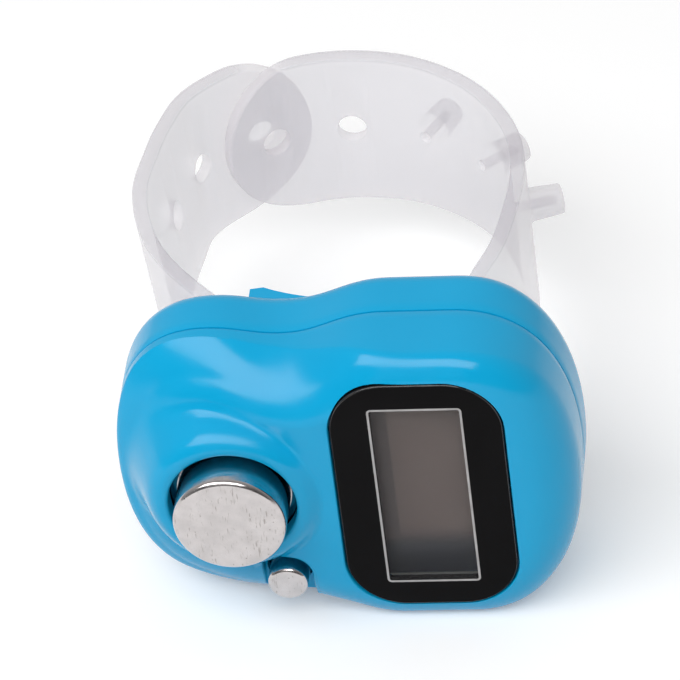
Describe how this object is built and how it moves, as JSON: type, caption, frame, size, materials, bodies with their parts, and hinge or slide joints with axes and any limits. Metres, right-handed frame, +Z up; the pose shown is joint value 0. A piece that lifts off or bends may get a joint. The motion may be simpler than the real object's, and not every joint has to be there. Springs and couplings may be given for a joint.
{
  "type": "digital finger counter",
  "caption": "Finger-worn digital tally counter: a rounded two-shell case with display, a large count button and a small reset button, on a soft adjustable strap.",
  "frame": {"origin": "under the middle of the object's box, on the plane that it stands on", "axes": "+Z up with the counter standing on its long flank, -Y out of the display and buttons, +Y through the strap's ring, +X from the button end to the display end"},
  "size_m": [0.04, 0.0562, 0.028],
  "materials": {
    "blue_plastic": "gloss",
    "black_acrylic": "gloss",
    "display_film": "satin",
    "display_glass": "clear",
    "silver_film": "satin",
    "white_plastic": "matte",
    "black_rubber": "matte",
    "green_laminate": "satin",
    "black_resin": "gloss",
    "chrome_plate": "mirror polish",
    "grey_silicone": "matte",
    "cell_steel": "satin",
    "contact_steel": "satin",
    "screw_steel": "satin",
    "strap_plastic": "translucent satin"
  },
  "bodies": {
    "case": {"front_shell": "blue_plastic", "back_shell": "blue_plastic", "faceplate": "black_acrylic", "lcd_polariser": "display_film", "lcd_front_glass": "display_glass", "lcd_back_glass": "display_glass", "lcd_reflector": "silver_film", "lcd_frame": "white_plastic", "zebra_strip": "black_rubber", "circuit_board": "green_laminate", "chip_blob": "black_resin", "oscillator_resistor": "black_resin", "supply_capacitor": "contact_steel", "count_dome": "grey_silicone", "reset_dome": "grey_silicone", "button_cell": "cell_steel", "battery_clip": "contact_steel", "battery_contact": "contact_steel", "board_screw_left": "screw_steel", "board_screw_right": "screw_steel", "case_screw_left": "screw_steel", "case_screw_right": "screw_steel", "strap": "strap_plastic"},
    "count_button": {"count_button": "chrome_plate"},
    "reset_button": {"reset_button": "chrome_plate"}
  },
  "joints": [
    {"name": "count_press", "type": "slide", "parent": "case", "child": "count_button", "axis": [0, 1, 0], "range_m": [0, 0.001], "stiffness_N_per_m": 1500, "deforming": ["count_dome"]},
    {"name": "reset_press", "type": "slide", "parent": "case", "child": "reset_button", "axis": [0, 1, 0], "range_m": [0, 0.0006], "stiffness_N_per_m": 2000, "deforming": ["reset_dome"]}
  ]
}
